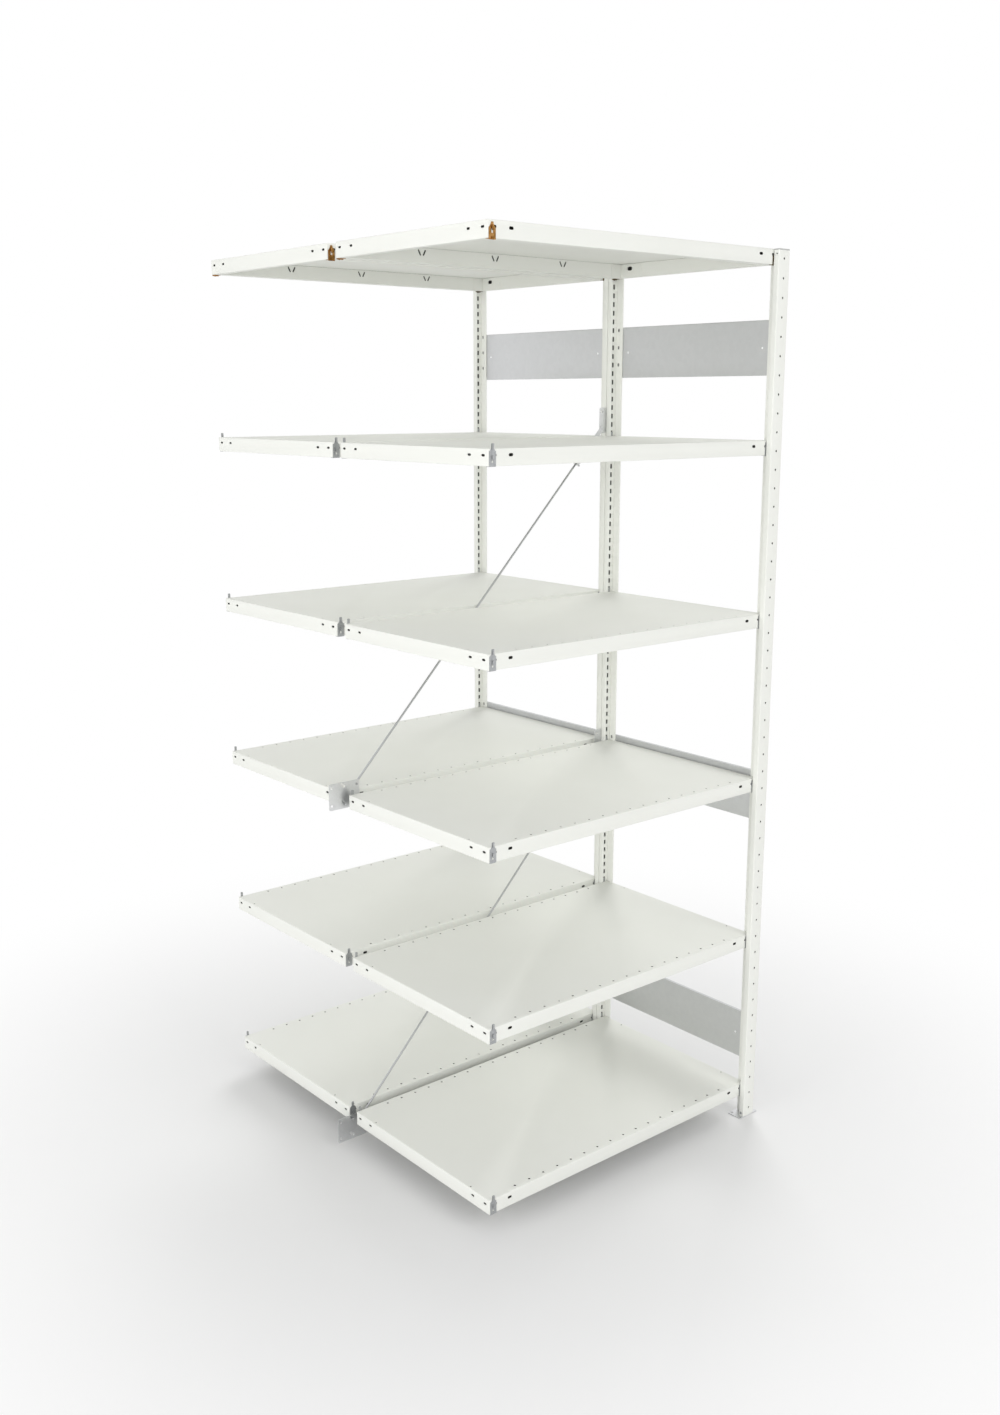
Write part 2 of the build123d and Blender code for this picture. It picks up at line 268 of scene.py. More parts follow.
def powderCoat():
    # polyester powder coat, sprayed and baked: a matt skin with a faint orange peel
    material, tree, shader, place = newMaterial("powderCoatedSteel")
    cloud = addNode(tree, "ShaderNodeTexNoise",
                    {"Scale": perMetre(paint["cloud"]), "Detail": 3.0}, {"Vector": place})
    tint = addNode(tree, "ShaderNodeMix", {"data_type": "RGBA", 6: colour(paint["pale"]),
                                           7: colour(paint["deep"])}, {0: cloud.outputs["Fac"]})
    peel = addNode(tree, "ShaderNodeTexNoise",
                   {"Scale": perMetre(paint["orangePeel"]), "Detail": 1.0}, {"Vector": place})
    grain = addNode(tree, "ShaderNodeTexNoise",
                    {"Scale": perMetre(paint["grain"]), "Detail": 2.0}, {"Vector": place})
    gloss = addNode(tree, "ShaderNodeMapRange", {"To Min": paint["roughness"][0],
                                                 "To Max": paint["roughness"][1]},
                    {"Value": grain.outputs["Fac"]})
    bump = addNode(tree, "ShaderNodeBump",
                   {"Strength": paint["bump"], "Distance": paint["peelDepth"]},
                   {"Height": peel.outputs["Fac"]})
    tree.links.new(tint.outputs[2], shader.inputs["Base Color"])
    tree.links.new(gloss.outputs["Result"], shader.inputs["Roughness"])
    tree.links.new(bump.outputs["Normal"], shader.inputs["Normal"])
    shader.inputs["IOR"].default_value = paint["ior"]
    return material


zinc = {
    "galvanised_steel": {
        "name": "hotDipGalvanisedSteel", "pale": "#DADBDC", "deep": "#D8D9DA",
        "crystal": 14 * mm, "streak": 0.8 * mm, "roughness": (0.46, 0.60), "bump": 0.05},
    # the galvanised zinc with darker colours for the usual clips: the darker tone is painted shade
    "shaded_clip_zinc": {
        "name": "dullZincPlatedSpringSteel", "pale": "#C0C2C3", "deep": "#B0B2B4",
        "crystal": 3 * mm, "streak": 0.5 * mm, "roughness": (0.46, 0.60), "bump": 0.05},
    "plate_zinc": {
        "name": "brightZincPlatedSheet", "pale": "#E2E3E4", "deep": "#DEDFE0",
        "crystal": 6 * mm, "streak": 0.5 * mm, "roughness": (0.34, 0.46), "bump": 0.04},
    "zinc_steel": {
        "name": "brightZincPlatedSteel", "pale": "#C4C5C6", "deep": "#BDBEC0",
        "crystal": 3 * mm, "streak": 0.4 * mm, "roughness": (0.30, 0.44), "bump": 0.05},
    "yellow_zinc_steel": {
        "name": "yellowPassivatedSteel", "pale": "#C8985E", "deep": "#86602F",
        "crystal": 5 * mm, "streak": 0.5 * mm, "roughness": (0.30, 0.42), "bump": 0.05},
    # the same yellow zinc with darker colours: painted shade for the top clips beside the uprights
    "shaded_yellow_zinc": {
        "name": "thickYellowPassivatedSteel", "pale": "#7A6746", "deep": "#4E4028",
        "crystal": 5 * mm, "streak": 0.5 * mm, "roughness": (0.34, 0.46), "bump": 0.05},
}
rolled = {"stretch": (1, 0.06, 0.06), "depth": 0.03 * mm}     # the rolling marks, drawn out along X


def zincCoat(look):
    # a zinc layer: crystals that catch the light in patches, and fine rolling marks
    material, tree, shader, place = newMaterial(look["name"])
    crystal = addNode(tree, "ShaderNodeTexVoronoi", {"Scale": perMetre(look["crystal"])},
                      {"Vector": place})
    shade = addNode(tree, "ShaderNodeSeparateColor", {}, {"Color": crystal.outputs["Color"]})
    tint = addNode(tree, "ShaderNodeMix", {"data_type": "RGBA", 6: colour(look["pale"]),
                                           7: colour(look["deep"])}, {0: shade.outputs["Red"]})
    stretch = addNode(tree, "ShaderNodeMapping", {"Scale": rolled["stretch"]}, {"Vector": place})
    streak = addNode(tree, "ShaderNodeTexNoise",
                     {"Scale": perMetre(look["streak"]), "Detail": 3.0},
                     {"Vector": stretch.outputs["Vector"]})
    gloss = addNode(tree, "ShaderNodeMapRange", {"To Min": look["roughness"][0],
                                                 "To Max": look["roughness"][1]},
                    {"Value": streak.outputs["Fac"]})
    bump = addNode(tree, "ShaderNodeBump",
                   {"Strength": look["bump"], "Distance": rolled["depth"]},
                   {"Height": streak.outputs["Fac"]})
    tree.links.new(tint.outputs[2], shader.inputs["Base Color"])
    tree.links.new(gloss.outputs["Result"], shader.inputs["Roughness"])
    tree.links.new(bump.outputs["Normal"], shader.inputs["Normal"])
    shader.inputs["Metallic"].default_value = 1.0
    return material


plastic = {"pale": "#BEBFBD", "deep": "#B2B3B1", "texture": 0.5 * mm, "depth": 0.05 * mm,
           "roughness": 0.55, "bump": 0.25}


def mouldedPlastic():
    # injection-moulded polypropylene: spark-eroded texture, no gloss
    material, tree, shader, place = newMaterial("mouldedPolypropylene")
    grain = addNode(tree, "ShaderNodeTexNoise",
                    {"Scale": perMetre(plastic["texture"]), "Detail": 2.0}, {"Vector": place})
    tint = addNode(tree, "ShaderNodeMix", {"data_type": "RGBA", 6: colour(plastic["pale"]),
                                           7: colour(plastic["deep"])}, {0: grain.outputs["Fac"]})
    bump = addNode(tree, "ShaderNodeBump",
                   {"Strength": plastic["bump"], "Distance": plastic["depth"]},
                   {"Height": grain.outputs["Fac"]})
    tree.links.new(tint.outputs[2], shader.inputs["Base Color"])
    tree.links.new(bump.outputs["Normal"], shader.inputs["Normal"])
    shader.inputs["Roughness"].default_value = plastic["roughness"]
    return material


# its dark colours are painted shade for the hollows and holes, as well as the unpainted steel
# inside
bare = {"pale": "#5E5D5A", "deep": "#484744", "mottle": 9 * mm, "roughness": 0.7}


def bareSteel():
    # cold-rolled sheet inside closed folds, pickled before painting: matt, blotchy, and dark as
    # painted shade
    material, tree, shader, place = newMaterial("pickledColdRolledSteel")
    mottle = addNode(tree, "ShaderNodeTexNoise",
                     {"Scale": perMetre(bare["mottle"]), "Detail": 3.0}, {"Vector": place})
    tint = addNode(tree, "ShaderNodeMix", {"data_type": "RGBA", 6: colour(bare["pale"]),
                                           7: colour(bare["deep"])}, {0: mottle.outputs["Fac"]})
    tree.links.new(tint.outputs[2], shader.inputs["Base Color"])
    shader.inputs["Roughness"].default_value = bare["roughness"]
    return material


materials = {"painted_steel": powderCoat(), "grey_plastic": mouldedPlastic(),
             "bare_steel_and_shade": bareSteel()}
for slot, look in zinc.items():
    materials[slot] = zincCoat(look)
print("materials:", ", ".join(material.name for material in materials.values()))


# Camera, at the photograph's viewing angle

camera = {
    "place": (-2.5465, -3.0957, 2.1157),
    "turn": (77.468, 0.0, -40.080),     # degrees
    "lens": 35.42,
    "farthest": 200,
}
turn = [math.radians(angle) for angle in camera["turn"]]
bpy.ops.object.camera_add(location=camera["place"], rotation=turn)
bpy.context.scene.camera = bpy.context.active_object
bpy.context.scene.camera.data.lens = camera["lens"]
bpy.context.scene.camera.data.clip_end = camera["farthest"]

# Places shared by several pieces

places = ("front", "middle_front", "middle_back", "back")
# the side of each upright that its shelves are on
inward = {"front": 1, "middle_front": -1, "middle_back": 1, "back": -1}


def uprightPlace(place):
    # from an upright's own frame, outer face at zero and shelves towards plus Y
    low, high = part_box("upright_" + place)
    outerY = low.y if inward[place] > 0 else high.y
    middle = Matrix.Translation(((low.x + high.x) / 2, outerY, 0))
    return middle @ Matrix.Scale(inward[place], 4, (0, 1, 0))


# Uprights

upright = {
    "width": 45 * mm, "depth": 18 * mm, "wall": 1.5 * mm, "corner": 2.6 * mm,
    "stemReach": 25 * mm, "stemThickness": 3 * mm, "stemEdge": 1.3 * mm,
    "slotCount": 100, "slotPitch": 25 * mm, "slotWidth": 7 * mm, "slotHeight": 14 * mm,
    "slotCorner": 1.2 * mm, "slotOffset": 15 * mm, "firstSlot": 12.5 * mm,
    "holeCount": 50, "holePitch": 50 * mm, "holeRadius": 3.3 * mm, "firstHole": 25 * mm,
    "stemHoleSlots": (10, 40, 90), "stemHoleSteps": (-50 * mm, 0, 50 * mm), "stemHoleWidth": 6 * mm,
    "stemHoleHeight": 9 * mm, "stemHoleCorner": 1.5 * mm, "stemHoleSetback": 9.5 * mm,
    "stemHoleRise": 0.4 * mm,
    "capHoleDrop": 13 * mm, "capHoleSetback": 7 * mm, "capHoleRadius": 2.4 * mm,
    "screwHeight": 10.8 * mm, "screwHoleRadius": 2.7 * mm,
    "coatedEnds": (3 * mm, 6 * mm),       # powder gets in this far at the foot and at the cap
}


def makeUpright():
    u = upright
    low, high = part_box("upright_front")
    bottom, top = low.z, high.z
    half, depth, wall = u["width"] / 2, u["depth"], u["wall"]
    through = 2 * wall
    post = addSlot((-half, 0, bottom), (half, depth, top), "Z", u["corner"], segments=4)
    halfStem = u["stemThickness"] / 2
    stem = addBlock((-halfStem, depth - wall / 2, bottom), (halfStem, depth + u["stemReach"], top))
    stemEnd = depth + u["stemReach"] - tiny
    roundEdges(stem, lambda a, b: runsAlong("Z")(a, b) and a.y > stemEnd, u["stemEdge"])
    weld(post, stem)
    bore = addSlot((-half + wall, wall, bottom - through),
                   (half - wall, depth - wall, top + through),
                   "Z", u["corner"] - wall, segments=2)
    punch(post, bore)

    halfSlot = u["slotWidth"] / 2
    slot = addSlot((-halfSlot, depth - through, u["firstSlot"] - u["slotHeight"] / 2),
                   (halfSlot, depth + through, u["firstSlot"] + u["slotHeight"] / 2),
                   "Y", u["slotCorner"], segments=2)
    spread(slot, [(-u["slotOffset"], 0, 0), (u["slotOffset"], 0, 0)])
    punch(post, repeat(bpy.context.active_object, u["slotCount"], (0, 0, u["slotPitch"])))
    hole = addRound(u["holeRadius"], (0, -wall, u["firstHole"]), (0, through, u["firstHole"]),
                    corners=12)
    punch(post, repeat(hole, u["holeCount"], (0, 0, u["holePitch"])))
    stemY = depth + u["stemHoleSetback"]
    halfWidth, halfHeight = u["stemHoleWidth"] / 2, u["stemHoleHeight"] / 2
    stemHole = addSlot((-through, stemY - halfWidth, -halfHeight),
                       (through, stemY + halfWidth, halfHeight),
                       "X", u["stemHoleCorner"], segments=3)
    heights = [u["firstSlot"] + u["slotPitch"] * slot + step + u["stemHoleRise"]
               for slot in u["stemHoleSlots"] for step in u["stemHoleSteps"]]
    punch(post, spread(stemHole, [(0, 0, height) for height in heights]))
    side = (-half - wall, -half + through)
    capZ = cadBounds[1][2] - u["capHoleDrop"]
    capHole = addRound(u["capHoleRadius"], (side[0], u["capHoleSetback"], capZ),
                       (side[1], u["capHoleSetback"], capZ), corners=12)
    screwHole = addRound(u["screwHoleRadius"], (side[0], depth / 2, u["screwHeight"]),
                         (side[1], depth / 2, u["screwHeight"]), corners=12)
    return punch(post, capHole, screwHole)


def insideUpright(spot):
    # the tube's bore and the walls of the stem's holes, away from the open ends
    u = upright
    wall, fromStemHole = u["wall"], spot.y - u["depth"] - u["stemHoleSetback"]
    if not u["coatedEnds"][0] < spot.z < cadBounds[1][2] - u["coatedEnds"][1]:
        return False
    # the stem holes' walls take the dark material only as painted shade, so that the holes look
    # dark
    if abs(fromStemHole) < u["stemHoleWidth"] / 2 + tiny:
        return abs(spot.x) < u["stemThickness"] / 2 - tiny
    inDepth = wall - tiny < spot.y < u["depth"] - wall + tiny
    return inDepth and abs(spot.x) < u["width"] / 2 - wall + tiny


uprightMaster = makeUpright()
for place in places:
    here = uprightPlace(place)
    piece = copyTo(uprightMaster, "slotted_upright_" + place, here)
    dress(piece, "painted_steel", "root", ["upright_" + place])
    leaveBare(piece, here, insideUpright)
bpy.data.objects.remove(uprightMaster)
print("uprights:", len(places))

# Caps and feet

cap = {
    "corner": 2.6 * mm, "edge": 0.9 * mm, "plugClearance": 0.2 * mm,
    "dishInset": 3 * mm, "dishDepth": 0.7 * mm, "dishCorner": 2 * mm, "cutAbove": 1 * mm,
}


def makeCap():
    low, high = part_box("cap_front")
    half, seat = upright["width"] / 2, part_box("upright_front")[1].z
    head = addBlock((-half, 0, seat), (half, upright["depth"], high.z))
    roundEdges(head, runsAlong("Z"), cap["corner"], segments=4)
    topEdge = high.z - tiny
    roundEdges(head, lambda a, b: min(a.z, b.z) > topEdge, cap["edge"], segments=2)
    inset = upright["wall"] + cap["plugClearance"]
    plug = addBlock((-half + inset, inset, low.z),
                    (half - inset, upright["depth"] - inset, seat + cap["dishDepth"]))
    weld(head, plug)
    rim = cap["dishInset"]
    dish = addSlot((-half + rim, rim, high.z - cap["dishDepth"]),
                   (half - rim, upright["depth"] - rim, high.z + cap["cutAbove"]),
                   "Z", cap["dishCorner"], segments=3)
    return punch(head, dish)


foot = {
    "sheet": 2 * mm, "corner": 3 * mm, "edge": 0.3 * mm,
    "tabWidth": 12 * mm, "tabCorner": 2 * mm, "tabClearance": 0.2 * mm,
    "anchorRadius": 4.5 * mm, "anchorSide": 29 * mm, "anchorSetback": 7 * mm,
}


def makeFoot():
    low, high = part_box("foot_front")
    toLocal = uprightPlace("front").inverted()
    low, high = toLocal @ low, toLocal @ high
    sheet = foot["sheet"]
    base = addSlot((low.x, low.y, 0), (high.x, high.y, sheet), "Z", foot["corner"], segments=3)
    roundEdges(base, lambda a, b: min(a.z, b.z) > sheet - tiny, foot["edge"], segments=1)
    tabX = -upright["width"] / 2 + upright["wall"] + foot["tabClearance"]
    tabY = upright["depth"] / 2
    tab = addSlot((tabX, tabY - foot["tabWidth"] / 2, sheet / 2),
                  (tabX + sheet, tabY + foot["tabWidth"] / 2, high.z),
                  "X", foot["tabCorner"], segments=3)
    weld(base, tab)
    anchorY = high.y - foot["anchorSetback"]
    hole = addRound(foot["anchorRadius"], (-foot["anchorSide"], anchorY, -sheet),
                    (-foot["anchorSide"], anchorY, 2 * sheet), corners=32)
    screwHole = addRound(upright["screwHoleRadius"], (tabX - sheet, tabY, upright["screwHeight"]),
                         (tabX + 2 * sheet, tabY, upright["screwHeight"]), corners=12)
    return punch(base, hole, screwHole)


screw = {
    "headRadius": 4 * mm, "headHeight": 2.2 * mm, "headEdge": 0.9 * mm,
    "shankRadius": 2.5 * mm, "shankOverlap": 0.5 * mm,
    "recess": 1.2 * mm, "recessHalf": 0.5 * mm, "recessShare": 0.62,     # a share of the radius
}


def makeFootScrew():
    face = -upright["width"] / 2
    y, z = upright["depth"] / 2, upright["screwHeight"]
    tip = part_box("foot_screws")[1].x - middleOf("upright_front").x
    head = addRound(screw["headRadius"], (face - screw["headHeight"], y, z), (face, y, z),
                    corners=24)
    outer = face - screw["headHeight"] + tiny
    roundEdges(head, lambda a, b: max(a.x, b.x) < outer, screw["headEdge"])
    weld(head, addRound(screw["shankRadius"], (face - screw["shankOverlap"], y, z), (tip, y, z)))
    narrow, long = screw["recessHalf"], screw["headRadius"] * screw["recessShare"]
    for sizes in ((narrow, long), (long, narrow)):
        cross = addBlock((face - 2 * screw["headHeight"], y - sizes[0], z - sizes[1]),
                         (face - screw["headHeight"] + screw["recess"], y + sizes[0], z + sizes[1]))
        punch(head, cross)
    return head


capMaster, footMaster, screwMaster = makeCap(), makeFoot(), makeFootScrew()
screws = []
for place in places:
    here = uprightPlace(place)
    dress(copyTo(capMaster, "moulded_cap_" + place, here), "grey_plastic", "root", ["cap_" + place])
    dress(copyTo(footMaster, "pressed_foot_" + place, here), "zinc_steel", "root",
          ["foot_" + place], "plate_zinc")
    screws.append(copyTo(screwMaster, "foot_screw_" + place, here))
    dress(screws[-1], "zinc_steel", "root", ["foot_screws"])
for master in (capMaster, footMaster, screwMaster):
    bpy.data.objects.remove(master)
print("caps, feet and foot screws:", 3 * len(places))

# Shelves

shelf = {
    "sheet": 1 * mm, "bend": 1.6 * mm,
    "longFold": 30 * mm, "shortFold": 18 * mm, "returnGap": 0.4 * mm,
    "holeRadius": 3.4 * mm, "holeCount": 17, "holePitch": 50 * mm, "holeInset": 15 * mm,
    "endHoleRadius": 2.6 * mm, "endHoleInset": 7.5 * mm, "endHoleSide": 85 * mm,
    "slotLength": 12 * mm, "slotHeight": 5.6 * mm, "slotDrop": 15 * mm,
    "faceSlotLength": 13.6 * mm, "faceSlotHeight": 7.2 * mm,
    "faceSlots": (19 * mm, 69 * mm),      # from the ends, in the long faces
    "endSlots": (17.5 * mm, 68 * mm),     # from the long edges, in the end faces
    "innerHole": (20 * mm, 11 * mm),      # in the returns behind the second of them
    "strokeWidth": 4.6 * mm, "strokeTop": 6 * mm, "strokeBottom": 21 * mm,
    "strokeSpread": (12 * mm, 4 * mm),    # from a mark's middle, at its top and bottom
    "strokePlaces": (-250 * mm, 0, 250 * mm),
    "slotRound": 0.95, "strokeRound": 0.45,     # shares of a slot's half height, a stroke's width
    "gussetReach": (38 * mm, 84 * mm),    # along the long and the short folds
    "gussetSheet": 1.2 * mm, "gussetMargin": 3 * mm,
}
low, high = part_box("shelf_1_front")
shelfHalf = ((high.x - low.x) / 2, (high.y - low.y) / 2)
shelfHeight = high.z - low.z


def punchEnds(tray, inset, reach, width, height):
    # two slots in each end, inset from the long edges and cut over this reach from its face
    halfX, halfY = shelfHalf
    halfWide, halfHigh, drop = width / 2, height / 2, shelf["slotDrop"]
    for side in (-1, 1):
        spanX = sorted((side * (halfX - reach[0]), side * (halfX - reach[1])))
        slot = addSlot((spanX[0], -halfWide, -drop - halfHigh),
                       (spanX[1], halfWide, -drop + halfHigh), "X", halfHigh * shelf["slotRound"])
        punch(tray, spread(slot, [(0, halfY - inset, 0), (0, inset - halfY, 0)]))


def makeShelf():
    s, t, height = shelf, shelf["sheet"], shelfHeight
    halfX, halfY = shelfHalf
    tray = addBlock((-halfX, -halfY, -height), (halfX, halfY, 0))
    roundEdges(tray, lambda a, b: True, s["bend"])
    innerX, innerY = halfX - t, halfY - t
    wallX, wallY = halfX - s["shortFold"], halfY - s["longFold"]   # the returns' inner faces
    punch(tray, addBlock((-wallX, -wallY, -height - t), (wallX, wallY, -t)))
    for side in (-1, 1):
        longY = sorted((side * innerY, side * (wallY + t)))
        punch(tray, addBlock((-innerX, longY[0], -height + t), (innerX, longY[1], -t)))
        shortX = sorted((side * innerX, side * (wallX + t)))
        punch(tray, addBlock((shortX[0], -wallY - t, -height + t), (shortX[1], wallY + t, -t)))
    punch(tray, addBlock((-wallX - 2 * t, -wallY - 2 * t, -t - s["returnGap"]),
                         (wallX + 2 * t, wallY + 2 * t, -t)))

    sheet, root = s["gussetSheet"], t / 2
    gussetZ = (-height + s["gussetMargin"], -t - s["returnGap"] - s["gussetMargin"])
    for sideX in (-1, 1):
        for sideY in (-1, 1):
            for reachX, reachY in ((s["gussetReach"][0], sheet), (sheet, s["gussetReach"][1])):
                spanX = sorted((sideX * (wallX + root), sideX * (wallX - reachX)))
                spanY = sorted((sideY * (wallY + root), sideY * (wallY - reachY)))
                weld(tray, addBlock(*zip(spanX, spanY, gussetZ)))

    hole = addRound(s["holeRadius"], (0, 0, -3 * t), (0, 0, t), corners=12)
    row = -(s["holeCount"] - 1) / 2 * s["holePitch"]
    holeY = halfY - s["holeInset"]
    spread(hole, [(row, -holeY, 0), (row, holeY, 0)])
    punch(tray, repeat(bpy.context.active_object, s["holeCount"], (s["holePitch"], 0, 0)))
    endX, endY = halfX - s["endHoleInset"], halfY - s["endHoleSide"]
    endHole = addRound(s["endHoleRadius"], (0, 0, -3 * t), (0, 0, t), corners=12)
    punch(tray, spread(endHole, [(x, y, 0) for x in (-endX, endX) for y in (-endY, endY)]))

    halfFace, halfRise, drop = s["faceSlotLength"] / 2, s["faceSlotHeight"] / 2, s["slotDrop"]
    faceSlot = addSlot((-halfFace, -2 * t, -drop - halfRise), (halfFace, 2 * t, -drop + halfRise),
                       "Y", halfRise * s["slotRound"])
    faceX = [side * (halfX - inset) for side in (-1, 1) for inset in s["faceSlots"]]
    punch(tray, spread(faceSlot, [(x, y, 0) for x in faceX for y in (-halfY, halfY)]))
    for inset in s["endSlots"]:
        punchEnds(tray, inset, (-t, 2 * t), s["slotLength"], s["slotHeight"])
    returnWall = (s["shortFold"] - 3 * t, s["shortFold"] + 3 * t)
    punchEnds(tray, s["endSlots"][1], returnWall, *s["innerHole"])

    wide, narrow = s["strokeSpread"]
    rise = s["strokeBottom"] - s["strokeTop"]
    lean = math.atan2(wide - narrow, rise)
    reach = math.hypot(wide - narrow, rise) / 2
    halfStroke, strokes = s["strokeWidth"] / 2, []
    for side in (-1, 1):
        stroke = addSlot((-halfStroke, -2 * t, -reach), (halfStroke, 2 * t, reach),
                         "Y", s["strokeWidth"] * s["strokeRound"], segments=2)
        middle = (side * (wide + narrow) / 2, 0, -(s["strokeTop"] + s["strokeBottom"]) / 2)
        stroke.data.transform(Matrix.Translation(middle) @ Matrix.Rotation(side * lean, 4, "Y"))
        strokes.append(stroke)
    punch(tray, spread(join(*strokes), [(x, y, 0) for x in s["strokePlaces"]
                                        for y in (-wallY - t / 2, wallY + t / 2)]))
    return tray


def insideFold(spot):
    # inside the box sections along the four edges
    t, x, y = shelf["sheet"], abs(spot.x), abs(spot.y)
    halfX, halfY = shelfHalf
    if x > halfX - t + tiny or y > halfY - t + tiny:
        return False
    if not -shelfHeight + t - tiny < spot.z < -t + tiny:
        return False
    return x > halfX - shelf["shortFold"] + t - tiny or y > halfY - shelf["longFold"] + t - tiny


shelfMaster = makeShelf()
for level in range(1, 7):
    for row in ("front", "back"):
        node = "shelf_%d_%s" % (level, row)
        low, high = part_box(node)
        here = Matrix.Translation(((low.x + high.x) / 2, (low.y + high.y) / 2, high.z))
        if row == "back":
            here = here @ Matrix.Rotation(math.pi, 4, "Z")
        piece = dress(copyTo(shelfMaster, "folded_" + node, here), "painted_steel", node, [node])
        leaveBare(piece, here, insideFold)
bpy.data.objects.remove(shelfMaster)
print("shelves: 12")

# Clips, in the frame of an upright but with the shelf's top at zero height

clip = {
    "sheet": 1 * mm, "width": 20 * mm, "neck": 7 * mm, "tongueReach": 13.2 * mm,
    "tongueDrop": 40 * mm, "hookWidth": 5 * mm, "lipReach": 2.7 * mm, "corner": 1.6 * mm,
    "lipRound": 0.45 * mm, "windowWidth": 5.6 * mm, "windowHeight": 9 * mm, "windowCorner": 1 * mm,
    # each hook: the ends of its lip and of its bridge, and its top
    "usual": {"low": -41 * mm, "shoulder": -5 * mm, "neckLow": 1 * mm, "high": 12 * mm,
              "hooks": ((-26.8 * mm, -22.8 * mm, -14.8 * mm), (-1.8 * mm, 6 * mm, 12 * mm)),
              "window": -32.3 * mm},
    "top": {"low": -43 * mm, "shoulder": -16 * mm, "neckLow": -9 * mm, "high": -5 * mm,
            "hooks": ((-43.5 * mm, -42 * mm, -36.5 * mm), (-23.5 * mm, -19.5 * mm, -11.5 * mm)),
            "window": -29 * mm},
}


def makeClip(kind):
    c, k = clip, clip[kind]
    t, half, halfNeck = c["sheet"], c["width"] / 2, c["neck"] / 2
    back = addSlot((-half, 0, k["low"]), (half, t, k["shoulder"]), "Y", c["corner"], segments=3)
    slope = addBlock((-half, 0, k["shoulder"] - 2 * c["corner"]), (half, t, k["neckLow"]))
    taper(slope, lambda spot: spot.z > k["neckLow"] - tiny, (c["neck"] / c["width"], 1, 1))
    neck = addSlot((-halfNeck, 0, k["shoulder"]), (halfNeck, t, k["high"]),
                   "Y", c["corner"], segments=3)
    weld(back, slope, neck)
    seat = -c["tongueDrop"]
    tongue = addSlot((-half, t / 2, seat - t), (half, c["tongueReach"], seat),
                     "Z", c["corner"], segments=3)
    weld(back, tongue)
    halfWindow = c["windowWidth"] / 2
    window = addSlot((-halfWindow, -t, k["window"]),
                     (halfWindow, 2 * t, k["window"] + c["windowHeight"]),
                     "Y", c["windowCorner"], segments=2)
    punch(back, window)
    halfHook = c["hookWidth"] / 2
    for lipLow, bridgeLow, high in k["hooks"]:
        bridge = addBlock((-halfHook, -c["lipReach"], bridgeLow), (halfHook, t / 2, high))
        lip = addBlock((-halfHook, -c["lipReach"], lipLow),
                       (halfHook, t - c["lipReach"], (bridgeLow + high) / 2))
        outer = -c["lipReach"] + tiny
        weld(bridge, lip)
        roundEdges(bridge, lambda a, b: runsAlong("X")(a, b) and a.y < outer, c["lipRound"],
                   segments=2)
        weld(back, bridge)
    return back


clipMasters = {kind: makeClip(kind) for kind in ("usual", "top")}
clipSlots = {"usual": "galvanised_steel", "top": "yellow_zinc_steel"}
# the usual clips and the top clips beside the uprights take looks darkened as painted shade
clipLooks = {("usual", "free"): "shaded_clip_zinc", ("usual", "post"): "shaded_clip_zinc",
             ("top", "free"): "yellow_zinc_steel", ("top", "post"): "shaded_yellow_zinc"}
lineX = middleOf("upright_front").x
clipLines = {"free": -lineX + upright["slotOffset"], "post": lineX - upright["slotOffset"]}
depthStep = Matrix.Translation((0, upright["depth"], 0))
for level in range(1, 7):
    kind = "top" if level == 6 else "usual"
    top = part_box("shelf_%d_front" % level)[1].z
    for end, endX in clipLines.items():
        made = {"front": [], "back": []}
        for place in places:
            row = "front" if place in ("front", "middle_front") else "back"
            here = Matrix.Translation((endX - lineX, 0, top)) @ uprightPlace(place) @ depthStep
            name = "%s_clip_%d_%s" % (end, level, place)
            made[row].append(copyTo(clipMasters[kind], name, here))
        for row, pieces in made.items():
            node = "free_clips_%d_%s" % (level, row) if end == "free" else "post_clips_%d" % level
            for piece in pieces:
                dress(piece, clipSlots[kind], "root", [node], clipLooks[kind, end])
for master in clipMasters.values():
    bpy.data.objects.remove(master)
print("clips: 48")

# Side panels

panel = {
    "sheet": 1 * mm, "rim": 8 * mm, "bend": 1.2 * mm,
    "holeRadius": 2.9 * mm, "holeInset": 44.2 * mm,
    "hookSteps": (-50 * mm, 0, 50 * mm), "hookHeight": 8 * mm, "hookHalf": 0.6 * mm,
    "hookInset": 7.5 * mm, "hookRise": 10.5 * mm,     # of the middle hook above the panel's middle
}


def makePanel(node):
    p = panel
    low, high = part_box(node)
    near = lineX + upright["stemThickness"] / 2
    t, rim = p["sheet"], p["rim"]
    sheet = addBlock((near, low.y, low.z), (near + rim, high.y, high.z))
    roundEdges(sheet, lambda a, b: runsAlong("Y")(a, b) and a.x < near + tiny, p["bend"])
    hollow = addBlock((near + t, low.y - rim, low.z + t),
                      (near + 2 * rim, high.y + rim, high.z - t))
    punch(sheet, hollow)
    middleZ = (low.z + high.z) / 2
    for y in (low.y + p["holeInset"], high.y - p["holeInset"]):
        punch(sheet, addRound(p["holeRadius"], (near - t, y, middleZ), (near + 2 * t, y, middleZ)))
    for y in (low.y + p["hookInset"], high.y - p["hookInset"]):
        for step in p["hookSteps"]:
            hookLow = middleZ + p["hookRise"] + step
            weld(sheet, addBlock((low.x, y - p["hookHalf"], hookLow),
                                 (near + t / 2, y + p["hookHalf"], hookLow + p["hookHeight"])))
    return sheet


for level in ("lower", "middle", "upper"):
    for row in ("front", "back"):
        node = "panel_%s_%s" % (level, row)
        piece = makePanel(node)
        piece.name = "folded_" + node
        dress(piece, "galvanised_steel", "root", [node])
print("side panels: 6")

# Brace plates

